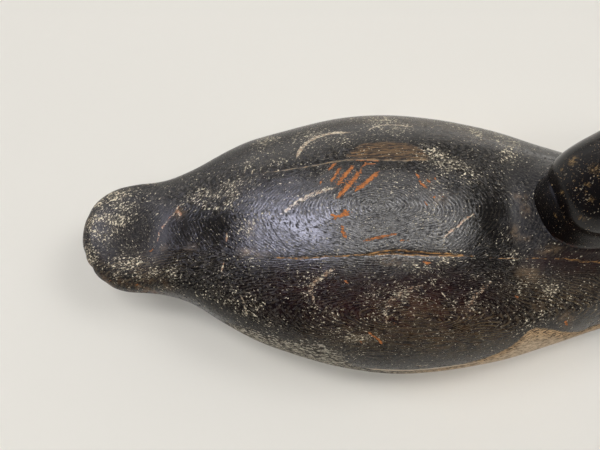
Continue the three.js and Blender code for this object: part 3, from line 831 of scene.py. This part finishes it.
def startMaterial(name):
    # an empty material with its tree, its surface shader and the place on the object
    material = bpy.data.materials.new(name)
    material.use_nodes = True
    tree = material.node_tree
    tree.nodes.clear()
    surface = tree.nodes.new("ShaderNodeBsdfPrincipled")
    output = tree.nodes.new("ShaderNodeOutputMaterial")
    tree.links.new(surface.outputs[0], output.inputs[0])
    return material, tree, surface, tree.nodes.new("ShaderNodeTexCoord").outputs["Object"]


def finishPaint(surface, colour, gloss, woody, height):
    # colour, roughness (bare and chipped parts are as dull as wood) and relief in millimetres
    tree = colour.id_data
    bump = addNode(tree, "ShaderNodeBump", {"Strength": 1.0, "Distance": mm, "Height": height})
    tree.links.new(colour, surface.inputs["Base Color"])
    tree.links.new(mix(woody, gloss, paint["woodRoughness"]), surface.inputs["Roughness"])
    tree.links.new(bump.outputs[0], surface.inputs["Normal"])
    surface.inputs["Specular IOR Level"].default_value = paint["specular"]


# colours and finish of the paint and of the wood under it
paint = {
    "black": (0.0022, 0.0020, 0.0023), "thinBlack": (0.0050, 0.0044, 0.0042),
    "maroon": (0.0096, 0.0025, 0.0042), "umber": (0.0100, 0.0070, 0.0054), "pore": (0.080, 0.070, 0.058),
    "ringLine": (0.060, 0.056, 0.050), "ringGlintGrey": (0.150, 0.148, 0.150),
    "ringBrown": (0.080, 0.052, 0.034), "cream": (0.82, 0.73, 0.55), "dullCream": (0.30, 0.255, 0.18),
    "feather": (0.40, 0.31, 0.215), "warmFeather": (0.34, 0.17, 0.095), "ochre": (0.30, 0.165, 0.060),
    "brightWood": (0.50, 0.165, 0.036), "brownWood": (0.100, 0.054, 0.022),
    "darkWood": (0.012, 0.0065, 0.004), "redWood": (0.050, 0.013, 0.007),
    "goldWood": (0.150, 0.090, 0.040), "olive": (0.120, 0.088, 0.048), "lip": (0.46, 0.235, 0.075),
    "flank": (0.62, 0.42, 0.23), "lowFlank": (0.70, 0.54, 0.37), "flankGrey": (0.62, 0.57, 0.46),
    "litPaleLine": (0.66, 0.53, 0.38), "rimWood": (0.20, 0.105, 0.045), "smear": (0.21, 0.14, 0.080),
    "slate": (0.085, 0.105, 0.125), "darkSlate": (0.055, 0.062, 0.068), "nail": (0.012, 0.012, 0.013),
    "gold": (0.46, 0.29, 0.12), "rust": (0.20, 0.066, 0.018),
    "roughness": 0.155, "woodRoughness": 0.85, "specular": 0.32,
}

# the body's finish: sizes and heights in millimetres, and what each mark adds to the roughness
bodyFinish = {
    "dustSize": 0.35, "chipSize": 0.65, "scratchRagged": 6.0, "featherRagged": 2.2, "gougeRagged": 1.6,
    "crackRagged": 2.2, "flankRagged": (22.0, 3.0),  # towards the tail, towards the breast
    "gloss": {"mottle": 0.14, "dull": 0.68, "furrow": 0.30, "pits": 0.50, "clean": -0.05},
    "height": {"ridge": 0.010, "shownRidge": 0.040, "grit": 0.07, "pits": -0.055, "gouge": -0.12,
               "grain": 0.22, "brush": 0.07, "chip": -0.05, "crack": -0.5},
}


def bodyMaterial():
    # layer over layer, from the black paint up to the chips, scratches, cracks and pale flanks
    material, tree, surface, place = startMaterial("wornBodyPaint")
    clean, ring, ringShow, maroon, umber, rubbed, dull = fieldsOf(
        tree, "clean ring ringShow maroon umber rubbed dull")
    grain, drawn = scaled(place, 1 / 14), scaled(place, 1 / 3)
    fineGrain = noise(grain, 0.9)
    mottle = noise(place, 5, 4, 0.6)
    dashes = noise(drawn, 1.5)

    # growth rings stand up as fine ridges, strong in some places and lost in others
    rings = plus(ring, timesPlus(noise(place, 7), 0.9, times(dashes, 0.6)))
    wave = calc("SINE", times(rings, 6.2832))
    ridge = ramp(wave, 0.1, 1.0)
    furrow = ramp(wave, -0.2, -0.95)
    ringWear = times(patches(place, 14, 2, 0.30, 0.52), timesPlus(clean, -0.8, 1.0))
    shown = times(ringWear, ringShow)
    # a place whose patterns are drawn out along the rings
    ahead, left, up = addNode(tree, "ShaderNodeSeparateXYZ", {0: place}).outputs
    around = minus(calc("ABSOLUTE", left), up)
    lined = addNode(tree, "ShaderNodeCombineXYZ", {
        0: times(rings, 1.15 * mm), 1: times(ahead, 0.4), 2: times(around, 0.4)}).outputs[0]
    grit = noise(lined, 0.7, 2, 0.6)
    pits = times(patches(lined, 0.8, 3, 0.47, 0.37, roughness=0.7), minus(1.0, clean))

    # black paint, thinner and browner low down, with pale pores and lines along the rings
    colour = blend(patches(place, 22, 4, 0.35, 0.7), "black", "thinBlack")
    tint = ramp(mottle, 0.3, 0.6, 0.5, 1.0)
    colour = blend(times(umber, tint), colour, "umber")
    colour = blend(times(maroon, tint), colour, "maroon")
    # fewer pale pores on clean paint and on maroon paint; in the hollow before the neck, at the waist and
    # by the neck's right side this darkening is painted shade
    whole = timesPlus(larger(clean, maroon), -0.8, 1.0)
    colour = blend(times(ramp(grit, 0.52, 0.66), times(whole, 0.65)), colour, "pore")
    # lines along the ring ridges; where the back's sheen falls they are pale grey, worn ridges and partly
    # painted glints
    line = times(times(ridge, ringWear), ramp(dashes, 0.36, 0.56))
    line = times(line, timesPlus(shown, 0.5, 0.3))
    lineTone = blend(shown, "ringLine", "ringGlintGrey")
    lineTone = blend(larger(maroon, umber), lineTone, "ringBrown")
    colour = blend(line, colour, lineTone)

    # rubbed paint: brown between the rings, broken olive lines on them
    colour = blend(times(ramp(fineGrain, 0.45, 0.68), times(rubbed, 0.6)), colour, "brownWood")
    redPart = times(times(maroon, ramp(mottle, 0.45, 0.6, 0.0, 0.7)), plus(rubbed, 0.15))
    colour = blend(redPart, colour, "redWood")
    line = times(ramp(timesPlus(ridge, 0.30, dashes), 0.70, 0.80), times(rubbed, 1.7, clamp=True))
    colour = blend(times(line, 0.9), colour, "olive")

    # the bare lens of golden brown wood, with ochre streaks towards the tail
    inLens, = fieldsOf(tree, "bare")
    bare = times(ramp(swing(noise(grain, 2.2), 9.0, inLens), -0.3, 0.8), ramp(inLens, -0.1, 0.2))
    bareGrain = noise(scaled(place, 1 / 7), 0.8, 4, 0.65)
    bareWood = blend(ramp(bareGrain, 0.45, 0.55), "darkWood", "goldWood")
    streak = ramp(plus(bareGrain, ramp(ahead, -0.004, -0.026, -0.02, 0.09)), 0.60, 0.68)
    bareWood = blend(times(streak, 0.8), bareWood, "ochre")
    colour = blend(times(bare, 0.92), colour, bareWood)

    # tan smears
    scuff, fleck = fieldsOf(tree, "scuff fleck")
    smear = times(scuff, patches(lined, 1.8, 4, 0.44, 0.58, 0.1, 0.75, 0.7))
    colour = blend(smear, colour, "smear")

    # feather crescents: worn ones are left only in crumbs
    arcSide, arcWidth, arcWorn, arcWarm = fieldsOf(tree, "arcSide arcWidth arcWorn arcWarm")
    feather = stroke(arcSide, arcWidth, swing(noise(place, 0.9), bodyFinish["featherRagged"]), 0.3)
    crumbs = minus(noise(lined, 0.8, 3, 0.6), timesPlus(arcWorn, 0.24, 0.36))
    feather = times(feather, ramp(crumbs, -0.03, 0.05))
    featherTone = blend(arcWarm, "feather", "warmFeather")
    featherTone = blend(patches(place, 1.6, 2, 0.45, 0.62, 0.0, 0.8), featherTone, "cream")
    colour = blend(times(feather, timesPlus(arcWorn, -0.35, 1.0)), colour, featherTone)

    # chips down to the old pale ground, from dust to flakes
    density = times(fleck, patches(scaled(place, 1 / 1.4), 7, 3, 0.34, 0.64, 0.45, 1.2, 0.6))
    dust = flecks(place, bodyFinish["dustSize"], density, 0.70, 0.56)
    chip = chips(lined, place, bodyFinish["chipSize"], density)
    tone = blend(patches(place, 1.2, 2, 0.40, 0.56), "dullCream", "cream")
    colour = blend(times(dust, 0.6), colour, "dullCream")
    colour = blend(chip, colour, tone)

    # torn grain, dark at the bottom
    gougeSide, gougeWidth = fieldsOf(tree, "gougeSide gougeWidth")
    gouge = stroke(gougeSide, gougeWidth, swing(noise(place, 1.2), bodyFinish["gougeRagged"]), 0.2)
    colour = blend(times(gouge, 0.95), colour, "black")

    # scratches to bright wood, with edges notched by the rings
    scratchSide, scratchWidth = fieldsOf(tree, "scratchSide scratchWidth")
    ragged = swing(noise(lined, 0.75, 3, 0.7), bodyFinish["scratchRagged"], middle=0.48)
    ragged = swing(noise(place, 1.6, 3, 0.6), bodyFinish["scratchRagged"] / 2, ragged)
    scratch = stroke(scratchSide, scratchWidth, ragged, 0.15)
    core = stroke(scratchSide, minus(scratchWidth, 0.3), ragged, 0.25)
    torn = noise(lined, 0.9, 4, 0.7)
    scratchTone = blend(ramp(torn, 0.42, 0.52), "rust", "brightWood")
    scratchTone = blend(ramp(torn, 0.58, 0.66, 0.0, 0.4), scratchTone, "lip")
    scratchTone = blend(core, "brownWood", scratchTone)
    colour = blend(scratch, colour, scratchTone)

    # cracks: broken bright wood at the lips, dark inside
    crackSide, crackWidth = fieldsOf(tree, "crackSide crackWidth")
    split = noise(scaled(place, 1 / 4), 1.2)
    ragged = swing(split, bodyFinish["crackRagged"])
    lips = stroke(crackSide, crackWidth, ragged, 0.18)
    inner = timesPlus(crackWidth, 0.8, -0.42)
    gap = stroke(timesPlus(ragged, 0.5, crackSide), inner, times(ragged, 0.6), 0.14)
    lipTone = blend(patches(drawn, 0.9, 3, 0.44, 0.56), "brownWood", "lip")
    lipTone = blend(ramp(left, 0.0, 0.01, 0.0, 0.6), lipTone, "dullCream")
    colour = blend(times(lips, 0.9), colour, lipTone)
    colour = blend(gap, colour, "darkWood")

    # pale flanks: brushed edge with dark ring dashes, crumbling to grey towards the tail
    inFlank, paleAndLitBand, onRim = fieldsOf(tree, "flank pale rim")
    far = ramp(ahead, -0.015, 0.03)
    reach = mix(far, *bodyFinish["flankRagged"])
    edge = plus(inFlank, swing(noise(place, 1.6, 4, 0.65), reach))
    flank = times(ramp(edge, -0.5, 1.0), ramp(inFlank, -4.0, -2.5))
    pale = blend(ramp(inFlank, 1.0, 12.0), "flank", "lowFlank")
    pale = blend(far, "flankGrey", pale)
    pale = blend(patches(lined, 1.2, 3, 0.50, 0.62, 0.0, 0.6), pale, "brownWood")
    hatch = ramp(timesPlus(ridge, 0.20, noise(lined, 1.1)), 0.53, 0.60)
    hatch = times(hatch, timesPlus(ramp(inFlank, 15.0, 2.0), 0.60, 0.30))
    pale = blend(hatch, pale, "darkWood")
    crumble = patches(scaled(place, 1 / 2.2), 1.4, 3, 0.47, 0.53, roughness=0.7)
    pale = blend(times(crumble, minus(0.9, far, clamp=True)), pale, "umber")
    colour = blend(times(flank, 0.95), colour, pale)
    # the pale line low on the right: pale paint and partly a painted highlight along the lower side
    colour = blend(ramp(swing(split, 2.0, paleAndLitBand), -0.3, 0.5, 0.0, 0.75), colour, "litPaleLine")

    # the tail's rim, worn to wood
    rim = times(onRim, patches(place, 4.5, 4, 0.48, 0.62, roughness=0.6))
    rimTone = blend(ramp(mottle, 0.42, 0.6), "brownWood", "rimWood")
    colour = blend(times(rim, 0.5), colour, rimTone)

    woody = larger(larger(chip, scratch), larger(flank, bare))
    add = bodyFinish["gloss"]
    gloss = swing(mottle, add["mottle"], paint["roughness"])
    for amount, name in ((dull, "dull"), (times(furrow, shown), "furrow"), (larger(pits, gouge), "pits"),
                         (clean, "clean")):
        gloss = timesPlus(amount, add[name], gloss)

    # relief: ring ridges, brush texture and the thickness of the paint
    add = bodyFinish["height"]
    height = times(ridge, timesPlus(shown, add["shownRidge"], add["ridge"]))
    brush = noise(scaled(place, 1 / 1.4), 2.2, 3, 0.6)
    for amount, name in ((grit, "grit"), (pits, "pits"), (gouge, "gouge"),
                         (times(fineGrain, rubbed), "grain"), (brush, "brush"),
                         (larger(chip, scratch), "chip"), (gap, "crack")):
        height = timesPlus(amount, add[name], height)
    finishPaint(surface, colour, gloss, woody, height)
    return material


# the head's finish, given as the body's is
headFinish = {
    "dustSize": 0.4, "chipSize": 0.75, "duller": 0.04, "mottle": 0.2,
    "height": {"small": 0.04, "brush": 0.04, "chip": 0.06},
}


def headMaterial():
    # black paint brushed upright, a slate bill, and gold-brown chips over both
    material, tree, surface, place = startMaterial("wornHeadPaint")
    clean, rubbed, billEdge, onNail = fieldsOf(tree, "clean rubbed billEdge nail")
    mouthSide, mouthOn, scuff, fleck = fieldsOf(tree, "mouthSide mouthOn scuff fleck")
    upright = scaled(place, z=1 / 9)
    brush = noise(upright, 1.0)
    small = noise(place, 0.9)
    mottle = noise(place, 5, 4, 0.6)
    # painted shade on the nape: there the thinner paint, umber brushing and pale pores are left out, so
    # it stays pure black
    thin = timesPlus(clean, -0.95, 1.0)
    colour = blend(times(patches(place, 18, 4, 0.35, 0.7), thin), "black", "thinBlack")
    colour = blend(times(ramp(brush, 0.50, 0.66, 0.0, 0.4), thin), colour, "umber")
    colour = blend(times(ramp(small, 0.54, 0.66, 0.0, 0.6), thin), colour, "pore")
    colour = blend(times(ramp(brush, 0.42, 0.58), rubbed), colour, "redWood")

    # weathered slate bill with a dark nail
    bill = ramp(plus(billEdge, swing(small, 1.6)), -0.4, 0.4)
    slate = blend(ramp(mottle, 0.35, 0.65), "slate", "darkSlate")
    slate = blend(times(ramp(brush, 0.55, 0.68), 0.5), slate, "dullCream")
    slate = blend(ramp(onNail, 0.35, 0.55), slate, "nail")
    colour = blend(bill, colour, slate)
    mouth = times(mouthOn, ramp(calc("ABSOLUTE", mouthSide), 0.75, 0.25))
    colour = blend(times(mouth, 0.85), colour, "darkWood")

    # smears and gold-brown chips
    smear = times(scuff, patches(upright, 0.9, 4, 0.45, 0.60, 0.0, 0.7, 0.75))
    colour = blend(smear, colour, "gold")
    density = times(fleck, patches(place, 6, 3, 0.34, 0.62, 0.45, 1.2))
    dust = flecks(place, headFinish["dustSize"], density, 0.72, 0.58)
    chip = chips(scaled(place, z=0.45), place, headFinish["chipSize"], density)
    tone = blend(patches(place, 3.0, 2, 0.42, 0.58), "gold", "dullCream")
    colour = blend(times(dust, 0.6), colour, "gold")
    colour = blend(chip, colour, tone)
    gloss = swing(mottle, headFinish["mottle"], paint["roughness"] + headFinish["duller"])
    add = headFinish["height"]
    height = plus(times(small, add["small"]), times(brush, add["brush"]))
    finishPaint(surface, colour, gloss, chip, minus(height, times(chip, add["chip"])))
    return material


eyeGlass = {
    "iris": (0.62, 0.29, 0.025), "irisEdge": (0.16, 0.05, 0.008), "pupil": (0.003, 0.003, 0.003),
    "pupilSize": 0.46, "pupilSoft": 0.02,
    "shader": {"Roughness": 0.12, "Coat Weight": 1.0, "Coat Roughness": 0.03},
}


def eyeMaterial():
    # a dark pupil in an amber iris that darkens unevenly towards its edge
    material, tree, surface, place = startMaterial("amberEye")
    away, = fieldsOf(tree, "away")
    iris = ramp(plus(away, times(noise(place, 0.8), 0.25)), 0.75, 1.1)
    iris = blend(iris, eyeGlass["iris"], eyeGlass["irisEdge"])
    size, soft = eyeGlass["pupilSize"], eyeGlass["pupilSoft"]
    pupil = ramp(away, size - soft, size + soft)
    tree.links.new(blend(pupil, eyeGlass["pupil"], iris), surface.inputs["Base Color"])
    for name, value in eyeGlass["shader"].items():
        surface.inputs[name].default_value = value
    return material


def dress(piece, material, node):
    # a finished piece takes the place of its solid
    piece.data.materials.append(material)
    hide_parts(node)
    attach(piece, "root")


body = makeBody()
dress(body, bodyMaterial(), "body")
print("body made:", len(body.data.polygons), "faces")

head = makeHead()
dress(head, headMaterial(), "head")
print("head made:", len(head.data.polygons), "faces")

glass = eyeMaterial()
for name, side in (("leftEye", 1), ("rightEye", -1)):
    dress(makeEye(name, side), glass, name.replace("Eye", "_eye"))
print("eyes made")


# the photograph's view, floor and light
studio = {
    "cameraAt": (-51.84, -136.26, 352), "tilt": 24.49, "roll": 0.843, "lens": 36, "sensor": 36,
    "floor": (0.762, 0.738, 0.688), "floorSize": 1.3, "floorDepth": 0.0002,
    "floorShader": {"Roughness": 0.8, "Specular IOR Level": 0.1},
    "room": 0.035,  # brightness of the room all round
    # soft brighter parts of the room: direction, edge and middle (cosines), brightness, colour
    "glows": [
        ((0, 1, 0.1), 0.55, 0.9, 0.35, (1.0, 0.97, 0.92)),
        ((0.9, 0.25, 0.1), 0.45, 0.9, 0.62, (1.0, 0.96, 0.90)),
        ((-0.95, 0.1, 0.0), 0.45, 0.9, 0.12, (0.95, 0.97, 1.0)),
        ((-0.8, 0.55, 0.1), 0.8, 0.95, 0.60, (1.0, 0.97, 0.94)),
        ((-0.2, -0.95, 0.0), 0.5, 0.95, 0.07, (1.0, 0.97, 0.93)),
    ],
    "lightDistance": 5,
    # name, direction from the object, size across and along (m), watts, colour. The first kind is seen
    # only in gloss and the second only lights the surfaces, so that sheen and shadow can be set apart.
    "glossLights": [
        ("window", (-0.40, 0.29, 0.86), (1.9, 1.6), 228, (0.87, 0.87, 1.08)),
        ("overhead", (0.02, 0.28, 0.96), (2.4, 1.7), 182, (1.0, 0.98, 0.96)),
        ("farWall", (0.08, 1, 0.16), (8, 2.2), 98, (1.0, 0.97, 0.93)),
    ],
    "shadowLights": [
        ("high", (-0.08, 0, 1), (1.0, 1.0), 44, (1.0, 1.0, 1.0)),
        ("highRight", (0.55, 0.1, 0.8), (2.0, 2.0), 64, (1.0, 1.0, 1.0)),
        ("highLeft", (-0.55, 0.1, 0.8), (1.5, 1.5), 57, (1.0, 1.0, 1.0)),
        ("highFront", (0, -0.4, 0.9), (2.0, 2.0), 82, (1.0, 1.0, 1.0)),
    ],
}


def setUp(name, data, at, right, up, back):
    # an object at a point, with its own x, y and z along three directions
    made = bpy.data.objects.new(name, data)
    turn = Matrix(np.stack([right, up, back], 1).tolist()).to_4x4()
    made.matrix_world = Matrix.Translation(at) @ turn
    bpy.context.collection.objects.link(made)
    return made


def unit(direction):
    # the direction with a length of one
    way = np.array(direction, float)
    return way / np.linalg.norm(way)


def makeCamera():
    # looks down and ahead by the tilt, and is rolled about its own axis
    tilt, roll = np.radians(studio["tilt"]), np.radians(studio["roll"])
    forward = np.array([0, np.sin(tilt), -np.cos(tilt)])
    up = np.array([0, np.cos(tilt), np.sin(tilt)])
    right = np.array([1.0, 0, 0])
    right, up = right * np.cos(roll) + up * np.sin(roll), up * np.cos(roll) - right * np.sin(roll)
    camera = bpy.data.cameras.new("photoCamera")
    camera.sensor_width, camera.lens, camera.clip_start = studio["sensor"], studio["lens"], 0.01
    at = np.array(studio["cameraAt"]) * mm
    bpy.context.scene.camera = setUp("photoCamera", camera, at, right, up, -forward)


def makeFloor():
    # a plain pale sheet, hardly mottled
    bpy.ops.mesh.primitive_plane_add(size=studio["floorSize"], location=(0, 0, -studio["floorDepth"]))
    floor = bpy.context.object
    floor.name = "floor"
    material, tree, surface, place = startMaterial("paleFloor")
    tone = blend(noise(place, 300, 2), studio["floor"], tuple(c * 0.97 for c in studio["floor"]))
    tree.links.new(tone, surface.inputs["Base Color"])
    for name, value in studio["floorShader"].items():
        surface.inputs[name].default_value = value
    floor.data.materials.append(material)


def makeRoom():
    # a dim room, with each glow an S curve over the cosine between the view and its direction
    world = bpy.data.worlds.new("softRoom")
    bpy.context.scene.world = world
    world.use_nodes = True
    tree = world.node_tree
    direction = addNode(tree, "ShaderNodeTexCoord").outputs["Generated"]
    room = addNode(tree, "ShaderNodeCombineXYZ", {k: studio["room"] for k in range(3)}).outputs[0]

    def vectors(operation, inputs):
        return addNode(tree, "ShaderNodeVectorMath", inputs, operation=operation).outputs

    for towards, edge, middle, brightness, tint in studio["glows"]:
        facing = vectors("DOT_PRODUCT", {0: direction, 1: tuple(unit(towards))})["Value"]
        amount = ramp(facing, edge, middle, 0.0, brightness)
        room = vectors("ADD", {0: room, 1: vectors("SCALE", {0: tint, "Scale": amount})[0]})[0]
    tree.links.new(room, tree.nodes["Background"].inputs["Color"])


def makeLights(lights, gloss):
    # soft rectangles turned towards the object
    for name, direction, size, watts, tint in lights:
        way = unit(direction)
        light = bpy.data.lights.new(name, "AREA")
        light.shape = "RECTANGLE"
        light.energy, light.color = watts, tint
        light.size, light.size_y = size
        side = unit(np.cross([0, 1.0, 0], way))
        made = setUp(name, light, way * studio["lightDistance"], side, np.cross(way, side), way)
        made.visible_glossy, made.visible_diffuse = gloss, not gloss


makeCamera()
makeFloor()
makeRoom()
makeLights(studio["glossLights"], gloss=True)
makeLights(studio["shadowLights"], gloss=False)
bpy.context.scene.view_settings.view_transform = "Standard"
print("camera, floor and lights placed")
